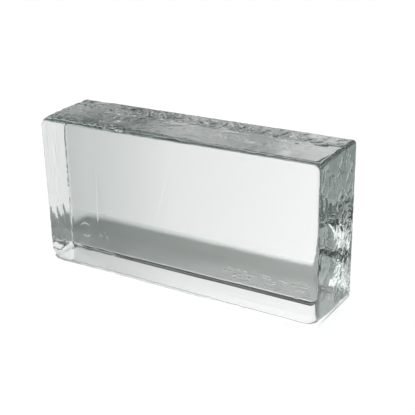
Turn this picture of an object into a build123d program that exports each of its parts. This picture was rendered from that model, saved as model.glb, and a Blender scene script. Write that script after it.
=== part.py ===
from build123d import *
import os

# Solid cast glass block, 200 x 100 x 50 mm, standing on one long narrow side.
# It is a single pour of clear glass pressed in an iron mould, so it is one solid.
# The bottom of the mould shaped the back face and gave it tight corners and a tight rim.
# The front face lay open to the press, so its corners and its rim are rounder, and each
# corner widens evenly from the back face to the front face.
# Frame: +X along the length, +Y through the thickness away from the front face, +Z up.
# The origin is the middle of the side that the block stands on. Sizes are in millimetres.

# Driving dimensions: the trade format of the block.
block_length = 200.0
block_height = 100.0
block_thickness = 50.0

# The corners of the outline, where the glass fills the mould least sharply.
front_corner_radius = 6.5
back_corner_radius = 3.6

# The rims between the two large faces and the narrow sides.
front_rim_radius = 3.0
back_rim_radius = 2.4

# How far the corner cutters reach past the block, so that they leave no skin.
cutter_overrun = 1.0

# Planes and lines that the sketches hang on.
front_plane = Plane.XZ.offset(block_thickness / 2)
back_plane = Plane.XZ.offset(-block_thickness / 2)
middle_height = block_height / 2
left_side = -block_length / 2
cutter_left = left_side - cutter_overrun

# The waste outside one rounded corner: an arc tangent to both narrow sides, drawn on
# each large face and joined by straight lines, so that its radius changes evenly.
with BuildPart() as corner_waste:
    for plane, radius in ((front_plane, front_corner_radius), (back_plane, back_corner_radius)):
        arc_right = left_side + radius
        with BuildSketch(plane):
            with BuildLine():
                corner_arc = RadiusArc((left_side, radius), (arc_right, 0), -radius)
                Polyline(
                    corner_arc @ 1,
                    (arc_right, -cutter_overrun),
                    (cutter_left, -cutter_overrun),
                    (cutter_left, radius),
                    corner_arc @ 0,
                )
            make_face()
    loft(ruled=True)
    # The other three corners mirror the bottom left one.
    mirror(about=Plane.YZ)
    mirror(about=Plane.XY.offset(middle_height))

with BuildPart() as glass_block:
    # The slab of glass: one flat face towards each side of the wall and four flat beds.
    with BuildSketch(front_plane):
        with Locations((0, middle_height)):
            Rectangle(block_length, block_height)
    extrude(amount=-block_thickness)
    add(corner_waste.part, mode=Mode.SUBTRACT)

    # Fire has rounded the rims; each runs all the way round its face.
    faces_by_depth = glass_block.faces().sort_by(Axis.Y)
    front_rim = faces_by_depth[0].edges()
    back_rim = faces_by_depth[-1].edges()
    fillet(front_rim, front_rim_radius)
    fillet(back_rim, back_rim_radius)

glass_block.part.label = "glass_block"

os.makedirs("parts", exist_ok=True)
export_step(glass_block.part, "parts/glass_block.step")
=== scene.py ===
# %% [markdown]
# # A solid cast glass block, photographed through its own depth
# The block is one lump of clear glass, pressed while hot in an iron mould. It
# weighs 2.5 kg, and every face of it is a window, a mirror or both, so almost all
# that the photograph shows is light that has already crossed the glass. The
# lesson builds the skin of the block as one surface worked out with numpy, gives
# it a glass that has real depth, and then sets up a small studio whose floor and
# walls are what the glass shows.

import math

import bpy
import numpy as np
from mathutils import Matrix, Vector


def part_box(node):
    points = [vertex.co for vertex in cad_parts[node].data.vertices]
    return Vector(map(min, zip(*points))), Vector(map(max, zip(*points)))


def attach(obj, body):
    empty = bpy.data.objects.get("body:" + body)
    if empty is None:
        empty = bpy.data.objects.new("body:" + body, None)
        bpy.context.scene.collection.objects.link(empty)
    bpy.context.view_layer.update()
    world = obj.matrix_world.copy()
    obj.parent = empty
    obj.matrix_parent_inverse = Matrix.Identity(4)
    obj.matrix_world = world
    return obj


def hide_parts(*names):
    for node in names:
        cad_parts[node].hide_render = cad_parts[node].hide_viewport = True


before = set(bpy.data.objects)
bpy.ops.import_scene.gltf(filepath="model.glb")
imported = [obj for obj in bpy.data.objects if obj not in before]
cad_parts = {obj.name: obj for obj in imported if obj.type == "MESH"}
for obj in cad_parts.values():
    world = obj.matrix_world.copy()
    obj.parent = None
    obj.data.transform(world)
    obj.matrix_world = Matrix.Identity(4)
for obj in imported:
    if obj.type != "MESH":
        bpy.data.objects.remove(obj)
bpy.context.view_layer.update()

# %% [markdown]
# ## How the skin is laid out
# The real block has two large pressed faces that are flat enough to look through,
# and four narrow sides that took the ripples of the mould. A box with a Bevel
# modifier would give one radius everywhere, and a sculpted mesh would be hard to
# change. So the skin is a grid of two parameters. One runs round the outline of the
# block, as a string would. The other starts in the middle of the front face, runs
# over the front rim, across the side and over the back rim, and ends in the middle
# of the back face. All lengths below are in millimetres.

# %% The box that the block has to fill
MM = 0.001
low = np.array(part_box("glass_block")[0]) / MM
high = np.array(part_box("glass_block")[1]) / MM
half_length = (high[0] - low[0]) / 2
half_thickness = (high[1] - low[1]) / 2
height = high[2] - low[2]
print("length, thickness, height:", 2 * half_length, 2 * half_thickness, height)

# %% [markdown]
# ## The outline
# Seen from the front the block is an oblong with rounded corners, and no two of
# them are alike: the lower ones are rounder than the upper ones, and each is
# tighter at the back than at the front. One bevel can't do that. A list of four
# radii for the front and four for the back says it, and the rows between them ease
# from one list to the other.

# %% Steps and corner radii
ARC_STEPS = 10
LONG_STEPS = 240
SHORT_STEPS = 150
RIM_STEPS = 8
SIDE_ROWS = 82

# Corner radii in the order left bottom, right bottom, right top, left top.
corner_radius_front = np.array([9.5, 7.0, 4.2, 6.0])
corner_radius_back = np.array([3.4, 4.0, 2.8, 3.6])
row_total = 2 * (RIM_STEPS + 1) + SIDE_ROWS
# The share of the way to the back at which a corner has its back radius.
BACK_RADIUS_FROM = 0.45
through = np.clip(np.linspace(0, 1, row_total) / BACK_RADIUS_FROM, 0, 1)
ease = through**2 * (3 - 2 * through)
radii = corner_radius_front + (corner_radius_back - corner_radius_front) * ease[:, None]


# %% A loop for each row
def outline(radii):
    """Points and outward directions round the outline, for each row of the skin.

    radii has a row for each row of the skin and a column for each corner. An arc is
    its centre plus the radius times (cos, sin) of an angle that sweeps a quarter
    turn, and the straight parts run evenly from the end of one arc to the start of
    the next. The result is [row, step, x or z].
    """
    signs = np.array([[-1, -1], [1, -1], [1, 1], [-1, 1]], float)
    starts = np.radians([180.0, 270.0, 0.0, 90.0])
    middle = np.array([0.0, height / 2])
    extent = np.array([half_length, height / 2])
    steps = [LONG_STEPS, SHORT_STEPS, LONG_STEPS, SHORT_STEPS]
    sweep = np.linspace(0, np.pi / 2, ARC_STEPS + 1)
    points, normals = [], []
    for corner in range(4):
        r = radii[:, corner, None, None]
        angle = starts[corner] + sweep
        direction = np.stack([np.cos(angle), np.sin(angle)], axis=1)[None]
        arc = middle + signs[corner] * (extent - r) + r * direction
        following = (corner + 1) % 4
        r2 = radii[:, following, None, None]
        turn = starts[following]
        first = middle + signs[following] * (extent - r2)
        first = first + r2 * np.array([math.cos(turn), math.sin(turn)])
        share = np.linspace(0, 1, steps[corner] + 1)[1:-1, None]
        straight = arc[:, -1:] * (1 - share) + first * share
        points += [arc, straight]
        flat = np.broadcast_to(direction[:, -1:], straight.shape)
        normals += [np.broadcast_to(direction, arc.shape), flat]
    return np.concatenate(points, axis=1), np.concatenate(normals, axis=1)


loop, outward = outline(radii)
step_total = loop.shape[1]
print("rows across:", row_total, " steps round:", step_total)

# %% [markdown]
# ## Rims
# Where a large face meets a narrow side, the hot glass pulled back into a soft rim.
# Such a rim works like a lens: it bends the view down to the dark floor or up to the
# dark ceiling, and so every edge of the block is drawn as a dark line. The rims are
# quarter ellipses. They run further over the bottom than over the ends, and each
# length is eased from corner to corner, because a constant one looks machined.


# %% A value that changes from corner to corner
def round_the_outline(bottom, right, top, left):
    """A value for each step round the outline, given at both ends of each side.

    Along a side the value eases from its start to its end by a half cosine, and on
    the arc after it, from there to the start of the next side.
    """
    sides = [bottom, right, top, left]
    counts = [LONG_STEPS, SHORT_STEPS, LONG_STEPS, SHORT_STEPS]
    values = []
    for number, (start, end) in enumerate(sides):
        before = sides[number - 1][1]
        values.append(np.linspace(before, start, ARC_STEPS + 1))
        share = (1 - np.cos(np.linspace(0, np.pi, counts[number] + 1)[1:-1])) / 2
        values.append(start * (1 - share) + end * share)
    return np.concatenate(values)


# %% [markdown]
# ## Random ripples that can be repeated
# The relief of the sides is random, yet it has to be the same on every run, and
# each side needs hills of its own size. Noise textures would do it in a material,
# but light that crosses glass needs the real slopes of the surface, so the relief
# is in the mesh. Numbers from a seeded generator are blurred to the wanted width.


# %% Smooth noise
def smooth_noise(widths, seed):
    """Random hills of the given widths, across and along, with a spread of 1.

    White noise is turned into waves, each wave is weakened by a bell curve of its
    own shortness, and the waves are added up again, so hills narrower than the
    widths vanish. The field is worked out on a grid of twice the depth and then cut,
    so it closes on itself round the outline but not across the thickness.
    """
    shape = (2 * row_total, step_total)
    outline_length = 2 * (2 * half_length + height)
    spacing = (2 * half_thickness / row_total, outline_length / step_total)
    field = np.random.default_rng(seed).standard_normal(shape)
    across = np.fft.fftfreq(shape[0], spacing[0])[:, None] * widths[0]
    along = np.fft.rfftfreq(shape[1], spacing[1])[None, :] * widths[1]
    bell = np.exp(-(np.pi**2) * (across**2 + along**2) / 2)
    field = np.fft.irfft2(np.fft.rfft2(field) * bell, shape)
    return (field / field.std())[:row_total]


def soft_step(value, start, end):
    """0 below start, 1 above end and smooth between."""
    t = np.clip((value - start) / (end - start), 0, 1)
    return t * t * (3 - 2 * t)


# %% Rims that waver
waver = smooth_noise((40.0, 4.0), 21)[:1]
slow_waver = smooth_noise((40.0, 14.0), 22)[:1]
# The first pair is the bottom, left to right; then the right end, going up; the
# top, right to left; and the left end, going down.
front_over_side = round_the_outline((5.2, 5.6), (2.6, 2.4), (4.6, 8.0), (3.5, 3.0))[None]
front_over_face = round_the_outline((4.0, 4.2), (3.6, 2.4), (1.7, 3.2), (2.6, 2.6))[None]
back_over_side = round_the_outline((4.4, 4.6), (3.0, 2.0), (2.0, 2.0), (1.4, 1.5))[None]
back_over_face = round_the_outline((2.3, 2.5), (2.6, 1.8), (1.6, 1.8), (1.6, 1.8))[None]
wavering = round_the_outline((0.14, 0.10), (0.28, 0.05), (0.04, 0.20), (0.08, 0.10))[None]
worn = 1 - soft_step(loop[:1, :, 0], -75, -45)
front_over_side = front_over_side * (1 + wavering * waver)
back_over_side = back_over_side * (1 + 0.5 * wavering * slow_waver + 0.30 * worn * waver)

quarter = np.linspace(0, np.pi / 2, RIM_STEPS + 1)[:, None]
share = np.linspace(0, 1, SIDE_ROWS + 2)[1:-1, None]
# How far each point lies in from the outline, and its place through the thickness.
front_inset = front_over_face * (1 - np.sin(quarter))
front_y = -half_thickness + front_over_side * (1 - np.cos(quarter))
back_inset = back_over_face * (1 - np.cos(quarter))
back_y = half_thickness - back_over_side * (1 - np.sin(quarter))
side_y = front_y[-1:] * (1 - share) + back_y[:1] * share
inset = np.concatenate([front_inset, np.zeros_like(side_y), back_inset])
through_y = np.concatenate([front_y, side_y, back_y])
print("widest rim:", round(float(back_over_side.max()), 2))

# %% [markdown]
# ## Four sides, four kinds of ripple
# The top wrinkled into creases, strongest on the left and along the back edge. The
# right end is calm along its front half and covered with small lenses along its back
# half. The left end has long vertical drips, and the bottom is nearly flat. Four
# separate meshes would show seams in the glass. So a mask for each side picks its
# own relief, and the relief always goes into the block, so the box keeps its size.

# %% Masks
x, z, y = loop[..., 0], loop[..., 1], through_y
on_bottom = soft_step(-outward[..., 1], 0.6, 0.95)
on_top = soft_step(outward[..., 1], 0.6, 0.95)
on_left = soft_step(-outward[..., 0], 0.6, 0.95)
on_right = soft_step(outward[..., 0], 0.6, 0.95)

# %% The creased top
creases = np.abs(smooth_noise((8.0, 5.5), 3))
streaks = smooth_noise((1.8, 14.0), 4)
flecks = smooth_noise((2.0, 2.2), 5)
patchy = 1 - soft_step(x, -60, 30)
near_back = soft_step(y, 3, 12)
swirls = smooth_noise((10.0, 6.0), 15)
folds = np.exp(-((swirls / 0.16) ** 2))
top_relief = 0.14 * creases * (0.45 + 0.55 * patchy) + 0.022 * streaks
top_relief = top_relief + 0.10 * folds * (0.15 + 0.85 * patchy)
fine_creases = np.abs(smooth_noise((3.2, 2.6), 11))
fine_relief = 0.05 * fine_creases + 0.02 * flecks
top_relief = top_relief + fine_relief * (2.2 * patchy + 3.5 * near_back)
print("spread of the top's relief:", round(float(top_relief.std()), 3))

# %% The lenses of the right end
bumps = np.abs(smooth_noise((3.0, 5.0), 6))
drips = smooth_noise((3.5, 16.0), 7)
back_half = soft_step(y, -5, 3) * soft_step(z, 3, 9)
upper = soft_step(z, 60, 80)
lenses = np.maximum(smooth_noise((3.4, 3.2), 6) - 0.5, 0)
small_lenses = np.maximum(smooth_noise((1.6, 2.2), 13) - 0.3, 0)
mottling = smooth_noise((3.0, 6.0), 14)
restless = 0.12 + 0.88 * np.maximum(upper, back_half)
right_relief = (0.04 * drips + 0.055 * mottling + 0.008 * flecks) * restless
right_relief = right_relief + back_half * (0.20 * lenses + 0.13 * small_lenses + 0.04 * bumps)
print("spread of the right end's relief:", round(float(right_relief.std()), 3))

# %% The drips of the left end
waves = smooth_noise((9.0, 30.0), 8)
runs = smooth_noise((2.2, 22.0), 10)
teeth = smooth_noise((2.4, 8.0), 12)
sheltered = 1 - soft_step(y, 10, 19)
left_relief = 0.04 * waves + (0.035 * runs + 0.08 * teeth + 0.012 * flecks) * sheltered
print("spread of the left end's relief:", round(float(left_relief.std()), 3))

# %% The nearly flat bottom
bottom_relief = 0.010 * smooth_noise((4.0, 26.0), 9) + 0.004 * streaks
print("spread of the bottom's relief:", round(float(bottom_relief.std()), 3))

# %% All four together
# The average skin lies this far inside the box, which leaves room for the hills.
SKIN_BELOW = 0.25


def centred(values, mask):
    """The values less their average over the side that the mask picks, times the mask."""
    return (values - (values * mask).sum() / mask.sum()) * mask


relief = centred(top_relief, on_top) + centred(right_relief, on_right)
relief = relief + centred(left_relief, on_left) + centred(bottom_relief, on_bottom)
edge = np.minimum(y + half_thickness, half_thickness - y)
depth = SKIN_BELOW + np.maximum(relief, -SKIN_BELOW) * soft_step(edge, 0.4, 3.0)
print("deepest ripple:", round(float(depth.max()), 3))

# %% [markdown]
# ## A mould that leans
# The left end isn't quite square: it stands out further at the back than at the
# front, by about two millimetres. A bend or a lattice would do it, but one line of
# arithmetic is plainer: each point is moved by a share of that length, which fades
# from the left end to the middle of the block.

# %% Put the relief and the lean on the loops
LEFT_LEAN = 2.4
pulled = loop - outward * (inset + depth)[..., None]
toward_left = np.clip(-pulled[..., 0] / half_length, 0, 1)
lean = LEFT_LEAN * (0.5 - y / (2 * half_thickness)) * toward_left
skin = np.stack([pulled[..., 0] + lean, through_y, pulled[..., 1]], axis=2)
print("the skin is a grid of", skin.shape[0], "by", skin.shape[1], "points")

# %% [markdown]
# ## The two large faces
# A pressed face is flat to a few hundredths of a millimetre, so it needs few
# points. Rings that shrink from the rim to the middle carry on the grid of the
# sides, which keeps the whole skin one closed surface without a seam.

# %% Rings
FACE_RINGS = 4


def face(ring, count):
    """Rings that shrink from the inner edge of a rim towards the middle of the face.

    Each ring is the rim's edge times a share plus the middle times the rest.
    """
    middle = np.array([0.0, ring[:, 1].mean(), height / 2])
    share = (1 - np.arange(1, count + 1) / (count + 1.0))[:, None, None]
    return ring[None] * share + middle * (1 - share), middle


front_rings, front_middle = face(skin[0], FACE_RINGS)
back_rings, back_middle = face(skin[-1], FACE_RINGS)
all_rows = np.concatenate([front_rings[::-1], skin, back_rings])
points = np.concatenate([all_rows.reshape(-1, 3), front_middle[None], back_middle[None]])

# %% Faces of the mesh
row_count = len(all_rows)
step = np.arange(step_total)
after = np.roll(step, -1)
base = (np.arange(row_count - 1) * step_total)[:, None]
quads = [base + step, base + step_total + step, base + step_total + after, base + after]
quads = np.stack(quads, axis=-1).reshape(-1, 4)
last = (row_count - 1) * step_total
front_fan = np.stack([step, after, np.full(step_total, len(points) - 2)], axis=1)
back_fan = np.stack([last + after, last + step, np.full(step_total, len(points) - 1)], axis=1)
print("triangles:", 2 * len(quads) + len(front_fan) + len(back_fan))

mesh = bpy.data.meshes.new("cast_glass")
mesh.from_pydata(points * MM, [], quads.tolist() + front_fan.tolist() + back_fan.tolist())
mesh.shade_smooth()
mesh.update()
block = bpy.data.objects.new("cast_glass", mesh)
bpy.context.scene.collection.objects.link(block)

# %% [markdown]
# ## Is it closed, and does it face outward?
# Light that enters glass has to find its way out, so a hole in the skin, or a face
# that is turned inward, spoils the picture. Each face and the origin span a
# pyramid, whose volume counts as negative where the face looks back at the origin.
# If the skin is sound, the sum is the volume of the block, a little under a litre.

# %% Volume
# A four-sided face has half the cross product of its diagonals as its area, and the
# pyramid on it has a third of that times the middle of the face.
corners = points[quads]
across = np.cross(corners[:, 2] - corners[:, 0], corners[:, 3] - corners[:, 1])
middles = corners.mean(axis=1)
volume = (middles * across).sum() / 6
for fan in (front_fan, back_fan):
    a, b, c = points[fan[:, 0]], points[fan[:, 1]], points[fan[:, 2]]
    volume += (a * np.cross(b, c)).sum() / 6
print("volume in cubic centimetres:", round(float(volume) / 1000, 1))

# %% [markdown]
# ## Clear glass with depth
# The real glass is clear, and only its depth shows a tint: a ray that crosses half
# a metre of it comes out a little darker and greener. A tinted base colour would
# tint every crossing of the surface by the same amount, however thick the block is.
# So the surface stays white and fully transmitting, and a Volume Absorption node
# takes light away along the path inside. The index of refraction, 1.52, is the one
# of window glass; it sets how far the view through the block is shifted.

# %% Glass
def new_material(name):
    """A node material with its Principled shader and output, both found by name."""
    material = bpy.data.materials.new(name)
    material.use_nodes = True
    nodes = material.node_tree.nodes
    return material, nodes["Principled BSDF"], nodes["Material Output"]


glass, shader, output = new_material("clear_cast_glass")
shader.inputs["Base Color"].default_value = (1, 1, 1, 1)
shader.inputs["Roughness"].default_value = 0.0
shader.inputs["IOR"].default_value = 1.52
shader.inputs["Transmission Weight"].default_value = 1.0
absorb = glass.node_tree.nodes.new("ShaderNodeVolumeAbsorption")
absorb.inputs["Color"].default_value = (0.10, 0.26, 0.20, 1)
absorb.inputs["Density"].default_value = 1.8
glass.node_tree.links.new(absorb.outputs["Volume"], output.inputs["Volume"])
mesh.materials.append(glass)
print("materials on the block:", [m.name for m in mesh.materials])


# %% [markdown]
# ## Small marks on the pressed face
# The front face carries a few marks that are far finer than the grid of the mesh: a
# flow line, an open curl, a faint fold, and dashes where the hot glass dragged over
# the iron. A mesh fine enough for them would be wasted on the rest of the face, so
# they are a height worked out from Object coordinates and given to a Bump node. It
# bends the rays that enter, which is how such marks are seen in clear glass.

# %% Nodes for sums
def feed(tree, socket, value):
    """Link the socket to the value if that is a socket too, and set it to the value if not."""
    if isinstance(value, bpy.types.NodeSocket):
        tree.links.new(value, socket)
    else:
        socket.default_value = value


def calculate(tree, operation, *values):
    """A Math node of the given operation, fed with sockets or plain numbers."""
    node = tree.nodes.new("ShaderNodeMath")
    node.operation = operation
    for socket, value in zip(node.inputs, values):
        feed(tree, socket, value)
    return node.outputs[0]


def fade(tree, value, start, end, smooth=False):
    """0 before start, 1 after end and a straight or smooth rise between.

    The start may be the larger of the two, and then the value fades out.
    """
    node = tree.nodes.new("ShaderNodeMapRange")
    node.inputs["From Min"].default_value = start
    node.inputs["From Max"].default_value = end
    if smooth:
        node.interpolation_type = "SMOOTHSTEP"
    tree.links.new(value, node.inputs["Value"])
    return node.outputs["Result"]


def near(tree, value, middle, width):
    """1 where the value is the middle, fading to 0 on both sides by a bell curve.

    The curve is e to the power of minus the square of the distance over the width.
    """
    distance = calculate(tree, "SUBTRACT", value, middle)
    scaled = calculate(tree, "DIVIDE", distance, width)
    squared = calculate(tree, "MULTIPLY", scaled, scaled)
    return calculate(tree, "EXPONENT", calculate(tree, "MULTIPLY", squared, -1.0))


# How far along the face the gentle flank of a line reaches, in metres.
LINE_REACH = 0.007


def step_line(tree, along, up, slope, start, rise):
    """A line on the face that rises within the given length and sinks slowly after it.

    Its distance is the length along the face less where the line is at this height,
    start + slope * up. The steep flank bends the rays one way only, toward the
    brighter side, so the line looks light and not half light and half dark.
    """
    line = calculate(tree, "MULTIPLY_ADD", up, slope, start)
    distance = calculate(tree, "SUBTRACT", along, line)
    steep = fade(tree, distance, 0.0, rise, smooth=True)
    gentle = fade(tree, distance, LINE_REACH, rise)
    return calculate(tree, "MULTIPLY", steep, gentle)


# %% The marks
tree = glass.node_tree
place = tree.nodes.new("ShaderNodeTexCoord").outputs["Object"]
axes = tree.nodes.new("ShaderNodeSeparateXYZ")
tree.links.new(place, axes.inputs[0])
along, across_y, up = axes.outputs

# Object coordinates are in metres, and so are the places and widths of the marks.
# A flow line on the left, strongest at half the height.
streak = step_line(tree, along, up, slope=0.046, start=-0.0570, rise=0.0009)
streak = calculate(tree, "MULTIPLY", streak, near(tree, up, 0.049, 0.016))

# A faint fold that leans across the upper left.
fold = step_line(tree, along, up, slope=0.311, start=-0.0236, rise=0.0014)
fold = calculate(tree, "MULTIPLY", fold, near(tree, up, 0.070, 0.026))
print("nodes so far:", len(tree.nodes))

# %% A curl, which is a circle that is open at its left
CURL_X = -0.0652
CURL_Z = 0.0285
CURL_RADIUS = 0.0046
from_centre_x = calculate(tree, "SUBTRACT", along, CURL_X)
from_centre_z = calculate(tree, "SUBTRACT", up, CURL_Z)
square_x = calculate(tree, "MULTIPLY", from_centre_x, from_centre_x)
square_sum = calculate(tree, "MULTIPLY_ADD", from_centre_z, from_centre_z, square_x)
radius = calculate(tree, "SQRT", square_sum)
curl = near(tree, radius, CURL_RADIUS, 0.0006)
open_side = calculate(tree, "MULTIPLY_ADD", from_centre_z, 0.35, from_centre_x)
curl = calculate(tree, "MULTIPLY", curl, fade(tree, open_side, -0.0052, -0.0024))
# Lower down, the light part of the view is further off, so the curl is steeper there.
lower_part = fade(tree, from_centre_z, 0.002, -0.003)
curl_height = calculate(tree, "MULTIPLY_ADD", lower_part, 0.65, 0.36)

# %% Dashes and specks
# They are the peaks of a fine noise that is stretched along the block.
stretched = tree.nodes.new("ShaderNodeMapping")
stretched.inputs["Scale"].default_value = (0.2, 1.0, 1.0)
tree.links.new(place, stretched.inputs["Vector"])
dash_noise = tree.nodes.new("ShaderNodeTexNoise")
dash_noise.inputs["Scale"].default_value = 1500.0
dash_noise.inputs["Detail"].default_value = 0.0
tree.links.new(stretched.outputs["Vector"], dash_noise.inputs["Vector"])
dashes = calculate(tree, "SUBTRACT", dash_noise.outputs["Fac"], 0.60)
dashes = calculate(tree, "MAXIMUM", dashes, 0.0)
# Compare gives 1 where the first value is within the third one of the second.
on_right_part = calculate(tree, "COMPARE", along, 0.068, 0.029)
scraped = calculate(tree, "MULTIPLY", on_right_part, near(tree, up, 0.0240, 0.0032))
speck_x = near(tree, along, -0.0506, 0.0032)
speck_z = near(tree, up, 0.0260, 0.0030)
speckled = calculate(tree, "MULTIPLY", speck_x, speck_z)
dashes = calculate(tree, "MULTIPLY", dashes, calculate(tree, "ADD", scraped, speckled))

# %% The height of all marks
MARK_HEIGHT = 0.0003
marks = calculate(tree, "MULTIPLY", streak, 1.3)
for mark, strength in ((fold, 0.5), (curl, curl_height), (dashes, 5.0)):
    marks = calculate(tree, "MULTIPLY_ADD", mark, strength, marks)
# The marks are on the front face alone, so they end 0.3 mm behind it.
front_limit = (0.3 - half_thickness) * MM
marks = calculate(tree, "MULTIPLY", marks, calculate(tree, "LESS_THAN", across_y, front_limit))
emboss = tree.nodes.new("ShaderNodeBump")
emboss.inputs["Distance"].default_value = MARK_HEIGHT
tree.links.new(marks, emboss.inputs["Height"])
tree.links.new(emboss.outputs["Normal"], shader.inputs["Normal"])

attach(block, "root")
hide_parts("glass_block")
print("nodes in the glass:", len(tree.nodes))


# %% [markdown]
# ## A studio made of tones
# Clear glass has no look of its own: each part of it shows some other part of the
# room. Looking through the window one sees the card behind the block; in the band
# below, the block's own shadow on the floor; in the right end, a softbox behind the
# camera's left shoulder. So the floor, the card and the world are given tones that
# change with place or direction, by ramps; on the floor and the card these tones are
# painted light and painted shade. Lamps and real walls would do the same, but a ramp
# puts each tone where the eye wants it and renders without noise.

# %% A tone that changes with place
def tint(tone):
    """A grey that turns faintly green as it gets darker, as a white wall does seen far off.

    Green is the tone, red is the tone to the power 1.07 and blue to the power 1.03.
    """
    return (tone**1.07, tone, tone**1.03, 1)


def tone_ramp(tree, value, stops):
    """A Color Ramp fed with value, which gives the tone of each (place, tone) stop in turn."""
    first, last = stops[0][0], stops[-1][0]
    ramp = tree.nodes.new("ShaderNodeValToRGB")
    tree.links.new(fade(tree, value, first, last), ramp.inputs["Fac"])
    elements = ramp.color_ramp.elements
    elements.remove(elements[-1])
    elements[0].position = 0.0
    elements[0].color = tint(stops[0][1])
    for place, tone in stops[1:]:
        element = elements.new((place - first) / (last - first))
        element.color = tint(tone)
    return ramp.outputs["Color"]


# %% Choosing by the kind of ray
def choose(tree, switch, when_off, when_on):
    """A Mix node: when_off where the switch is 0, when_on where it is 1."""
    mix = tree.nodes.new("ShaderNodeMix")
    mix.data_type = "FLOAT"
    tree.links.new(switch, mix.inputs["Factor"])
    feed(tree, mix.inputs["A"], when_off)
    feed(tree, mix.inputs["B"], when_on)
    return mix.outputs["Result"]


def choose_color(tree, switch, when_off, when_on):
    """The same for two colours, which are sockets or plain values."""
    mix = tree.nodes.new("ShaderNodeMixRGB")
    tree.links.new(switch, mix.inputs["Fac"])
    feed(tree, mix.inputs["Color1"], when_off)
    feed(tree, mix.inputs["Color2"], when_on)
    return mix.outputs["Color"]


# %% Directions and sheets
def direction_dot(tree, vector, axis):
    """How far vector points along axis: the sum of the products of their components."""
    dot = tree.nodes.new("ShaderNodeVectorMath")
    dot.operation = "DOT_PRODUCT"
    dot.inputs[1].default_value = axis
    tree.links.new(vector, dot.inputs[0])
    return dot.outputs["Value"]


def sheet(name, x_range, y_range, z_range, material):
    """A flat stage sheet in metres, upright if its two y are the same, else level."""
    (x0, x1), (y0, y1), (z0, z1) = x_range, y_range, z_range
    corners = [(x0, y0, z0), (x1, y0, z0), (x1, y1, z1), (x0, y1, z1)]
    data = bpy.data.meshes.new(name)
    data.from_pydata(corners, [], [(0, 1, 2, 3)])
    data.materials.append(material)
    thing = bpy.data.objects.new(name, data)
    bpy.context.scene.collection.objects.link(thing)
    return thing


# %% [markdown]
# ## The floor
# The photograph stands on pure white, so for camera rays the paper is white. Rays
# that come through the glass see painted shade in its colour: greyer toward the left,
# where the room is darker, and grey again far to the right. Under the block no lamp
# reaches the paper, but in a real block the light that the glass has gathered lands
# there in bright veins. Tracing those would take hours of caustics, so there the
# colour is painted black and the footprint glows by itself as painted light, dimmer
# toward the left, with veins of ridged noise.

# %% Floor tones
paper, paper_shader, _ = new_material("white_floor")
paper_shader.inputs["Roughness"].default_value = 1.0
paper_shader.inputs["Specular IOR Level"].default_value = 0.0
tree = paper.node_tree
place = tree.nodes.new("ShaderNodeTexCoord").outputs["Object"]
path = tree.nodes.new("ShaderNodeLightPath")
# Painted shade: for rays through the glass the floor's tone is greyer toward the left and grey
# again far to the right.
painted_shade_floor_stops = [(-0.30, 0.30), (-0.13, 0.42), (-0.08, 0.54), (-0.047, 0.585), (-0.006, 0.74)]
painted_shade_floor_stops += [(0.04, 0.87), (0.08, 0.98), (0.115, 1.0), (0.135, 0.25), (0.30, 0.2)]
to_the_right = (0.829, 0.559, 0.0)
tone = tone_ramp(tree, direction_dot(tree, place, to_the_right), painted_shade_floor_stops)

# %% Where the block stands
FOOT_HALF_LENGTH = 0.098
FOOT_HALF_WIDTH = 0.0245
apart = tree.nodes.new("ShaderNodeSeparateXYZ")
tree.links.new(place, apart.inputs[0])
inside_length = calculate(tree, "COMPARE", apart.outputs["X"], 0.0, FOOT_HALF_LENGTH)
inside_width = calculate(tree, "COMPARE", apart.outputs["Y"], 0.0, FOOT_HALF_WIDTH)
under = calculate(tree, "MULTIPLY", inside_length, inside_width)
# Painted shade: inside the footprint the floor's colour is painted black, and the painted glow
# below lights it.
painted_shade_floor = choose_color(tree, under, tone, (0, 0, 0, 1))
floor_tone = choose_color(tree, path.outputs["Is Camera Ray"], painted_shade_floor, (1, 1, 1, 1))
tree.links.new(floor_tone, paper_shader.inputs["Base Color"])

# %% The glow under the block
# Painted light: the footprint glows in place of the light that the glass gathers onto the floor,
# dimmer toward the left, with brighter veins.
painted_caustic_stops = [(-0.10, 0.11), (-0.088, 0.15), (-0.08, 0.28), (-0.07, 0.46), (-0.055, 0.66)]
painted_caustic_stops += [(-0.03, 0.62), (0.02, 0.70), (0.037, 1.0), (0.055, 1.2), (0.10, 1.2)]
painted_caustic_tone = tone_ramp(tree, apart.outputs["X"], painted_caustic_stops)
caustic_veins = tree.nodes.new("ShaderNodeTexNoise")
caustic_veins.noise_type = "RIDGED_MULTIFRACTAL"
caustic_veins.inputs["Scale"].default_value = 38.0
caustic_veins.inputs["Detail"].default_value = 3.0
caustic_veins.inputs["Roughness"].default_value = 0.5
tree.links.new(place, caustic_veins.inputs["Vector"])
caustic_vein_share = fade(tree, caustic_veins.outputs["Fac"], 0.2, 1.6)
painted_caustic_strength = calculate(tree, "MULTIPLY_ADD", caustic_vein_share, 3.0, 0.74)
painted_caustic_glow = calculate(tree, "MULTIPLY", painted_caustic_strength, under)
tree.links.new(painted_caustic_tone, paper_shader.inputs["Emission Color"])
tree.links.new(painted_caustic_glow, paper_shader.inputs["Emission Strength"])

# %% Lay the floor
FLOOR_REACH = 4.0
# The floor lies a little under the block, so that no two surfaces share a place.
FLOOR_Z = -0.0003
floor_span = (-FLOOR_REACH, FLOOR_REACH)
sheet("floor", floor_span, floor_span, (FLOOR_Z, FLOOR_Z), paper)
print("floor reaches", FLOOR_REACH, "m each way")
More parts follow.
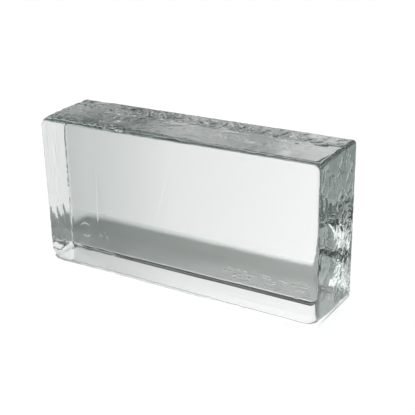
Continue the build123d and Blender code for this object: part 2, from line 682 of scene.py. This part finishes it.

# %% [markdown]
# ## The white card behind the block
# Through the window one sees a smooth gradient from grey on the left to white on
# the right, which ends in a round white corner. That is a card that stands close
# behind the block and ends at its right. It glows by itself as painted light, by a
# ramp along its length that paints the room's falling light as grey toward the left,
# and it glows less along its top edge, also painted shade. Behind the block it is
# low, so that the lower rim looks over it into the dark room and draws a dark line.
# Left of the block it is high, because the left end shows it. Both parts are hidden
# from the camera, from shadow rays and from diffuse rays, so that they are only seen
# through the glass and do not light or shade the floor.

# %% Card
card_material, card_shader, _ = new_material("white_card")
tree = card_material.node_tree
place = tree.nodes.new("ShaderNodeTexCoord").outputs["Object"]
# Painted light: the card's glow, greyer toward the left as painted shade.
card_painted_shade_stops = [(-0.26, 0.54), (-0.17, 0.56), (-0.145, 0.595), (-0.128, 0.66), (-0.106, 0.71)]
card_painted_shade_stops += [(-0.08, 0.78), (-0.053, 0.88), (0.0, 0.94), (0.05, 1.0), (0.2, 1.0)]
tone = tone_ramp(tree, direction_dot(tree, place, (1.0, 0.0, 0.0)), card_painted_shade_stops)
card_shader.inputs["Base Color"].default_value = (0, 0, 0, 1)
card_shader.inputs["Roughness"].default_value = 1.0
card_shader.inputs["Specular IOR Level"].default_value = 0.0
tree.links.new(tone, card_shader.inputs["Emission Color"])
# Painted shade: the glow is dimmer above 90 mm, which only the high part of the card reaches.
card_height = direction_dot(tree, place, (0.0, 0.0, 1.0))
below_edge = fade(tree, card_height, 0.102, 0.090)
card_painted_glow = calculate(tree, "MULTIPLY_ADD", below_edge, 0.32, 0.70)
tree.links.new(card_painted_glow, card_shader.inputs["Emission Strength"])

# %% Stand the two parts of the card up
CARD_Y = 0.0775
CARD_LEFT = -0.5
CARD_STEP = -0.1
CARD_RIGHT = 0.115
LOW_TOP = 0.072
HIGH_TOP = 0.14
card_parts = [("card", CARD_STEP, CARD_RIGHT, LOW_TOP)]
card_parts += [("side_card", CARD_LEFT, CARD_STEP, HIGH_TOP)]
for name, left, right, top in card_parts:
    card = sheet(name, (left, right), (CARD_Y, CARD_Y), (0, top), card_material)
    card.visible_camera = False
    card.visible_shadow = False
    card.visible_diffuse = False
print("card from x", CARD_LEFT, "to", CARD_RIGHT, "m")

# %% [markdown]
# ## The room
# The world is a ring of tones round the compass, in degrees clockwise from behind
# the block as seen from above. Most of it is dark, which draws the rims and the
# corners as dark lines. Bright sectors stand for softboxes: one behind the camera's
# left shoulder that the right end shows, and a wide one at the right that fills the
# left end. Above about 33 degrees begins a dark roof with one softbox, and below
# about 14 degrees a dark skirting. Diffuse rays get one plain fill light instead, so
# the floor's shadow doesn't depend on the ring, and camera rays get white.

# %% Which way a ray looks
world = bpy.data.worlds.new("studio")
bpy.context.scene.world = world
world.use_nodes = True
tree = world.node_tree
background = tree.nodes["Background"]
look = tree.nodes.new("ShaderNodeTexCoord").outputs["Generated"]
split = tree.nodes.new("ShaderNodeSeparateXYZ")
tree.links.new(look, split.inputs["Vector"])
turn = calculate(tree, "ARCTAN2", split.outputs["X"], split.outputs["Y"])
compass = calculate(tree, "DEGREES", turn)
rise = split.outputs["Z"]

# %% The ring, the skirting and the roof
room_stops = [(-180, 0.2), (-172, 0.4), (-160, 0.42), (-156, 0.6), (-154, 1.7), (-148, 1.7)]
room_stops += [(-146, 0.6), (-141, 0.1), (-120, 0.03), (-90, 0.05), (-78, 0.4), (-48, 0.5)]
room_stops += [(-44, 0.12), (-40, 0.15), (-37, 0.7), (-32, 0.7), (-29, 0.12), (46, 0.1)]
room_stops += [(54, 1.4), (146, 1.4), (154, 0.04), (170, 0.06), (180, 0.2)]
ring = tone_ramp(tree, compass, room_stops)
roof_stops = [(-180, 0.02), (128, 0.02), (132, 1.4), (150, 1.4), (154, 0.02), (180, 0.02)]
roof_ring = tone_ramp(tree, compass, roof_stops)
walls = choose(tree, fade(tree, rise, 0.20, 0.28), 0.04, ring)
roof = choose(tree, fade(tree, rise, 0.80, 0.84), roof_ring, 0.02)
room = choose(tree, fade(tree, rise, 0.50, 0.60), walls, roof)
print("stops round the compass:", len(room_stops), "and in the roof:", len(roof_stops))

# %% What each kind of ray gets
FILL_LIGHT = 0.385
path = tree.nodes.new("ShaderNodeLightPath")
lit = choose(tree, path.outputs["Is Diffuse Ray"], room, FILL_LIGHT)
seen = choose(tree, path.outputs["Is Camera Ray"], lit, 1.0)
tree.links.new(seen, background.inputs["Strength"])
fill_tint = (0.94, 1.0, 0.965, 1)
fill_color = choose_color(tree, path.outputs["Is Diffuse Ray"], (1, 1, 1, 1), fill_tint)
tree.links.new(fill_color, background.inputs["Color"])
print("nodes in the world:", len(tree.nodes))

# %% [markdown]
# ## Key light
# The shadow that the window shows as a grey band starts at the block's foot and
# ends in a soft edge, 48 mm behind it. That fixes the lamp: it stands in front, a
# little to the right, 61 degrees up, and its disc is 4.2 degrees wide. A Sun gives
# the same edge everywhere, as a large lamp far off does.

# %% Sun
sun_data = bpy.data.lights.new("key", "SUN")
sun_data.energy = 2.45
sun_data.angle = math.radians(4.2)
sun_data.cycles.use_multiple_importance_sampling = False
sun = bpy.data.objects.new("key", sun_data)
sideways = math.radians(30)
upward = math.radians(61)
level = math.cos(upward)
toward = Vector((math.sin(sideways) * level, -math.cos(sideways) * level, math.sin(upward)))
sun.rotation_mode = "QUATERNION"
sun.rotation_quaternion = toward.to_track_quat("Z", "Y")
bpy.context.scene.collection.objects.link(sun)
print("shadow reaches", round(100 / math.tan(upward) * math.cos(sideways), 1), "mm back")

# %% [markdown]
# ## Camera
# The camera's place and turn were solved from the six outer corners of the block in
# the photograph, with the block's real size. The turn is an axis whose length is
# the angle. Cameras in computer vision look along +Z with Y down and Blender's look
# along -Z with Y up, so the second and third row change sign.

# %% Camera
cam_data = bpy.data.cameras.new("camera")
cam_data.sensor_width = 36
FOCAL_PIXELS = 881.7
PHOTO_PIXELS = 415
cam_data.lens = FOCAL_PIXELS * cam_data.sensor_width / PHOTO_PIXELS
cam = bpy.data.objects.new("camera", cam_data)
turn_axis = Vector((1.89886, 0.53217, -0.39187))
rows = Matrix.Rotation(turn_axis.length, 3, turn_axis.normalized())
rotation = Matrix((rows[0], -rows[1], -rows[2])).transposed()
position = Vector((0.28665, -0.42594, 0.25251))
cam.matrix_world = Matrix.Translation(position) @ rotation.to_4x4()
bpy.context.scene.collection.objects.link(cam)
bpy.context.scene.camera = cam
cam_data.clip_start = 0.01
cam_data.clip_end = 100
print("distance to the block's middle:", round((position - Vector((0, 0, 0.05))).length, 3), "m")

# %% [markdown]
# ## Enough bounces
# Light crosses the block by many reflections inside it, most of all along the rims.
# With too few bounces these paths end in black, so the limit is 32.

# %% Render settings
scene = bpy.context.scene
scene.view_settings.view_transform = "Standard"
scene.cycles.max_bounces = 32
scene.cycles.transmission_bounces = 32
scene.cycles.glossy_bounces = 16
scene.cycles.diffuse_bounces = 3
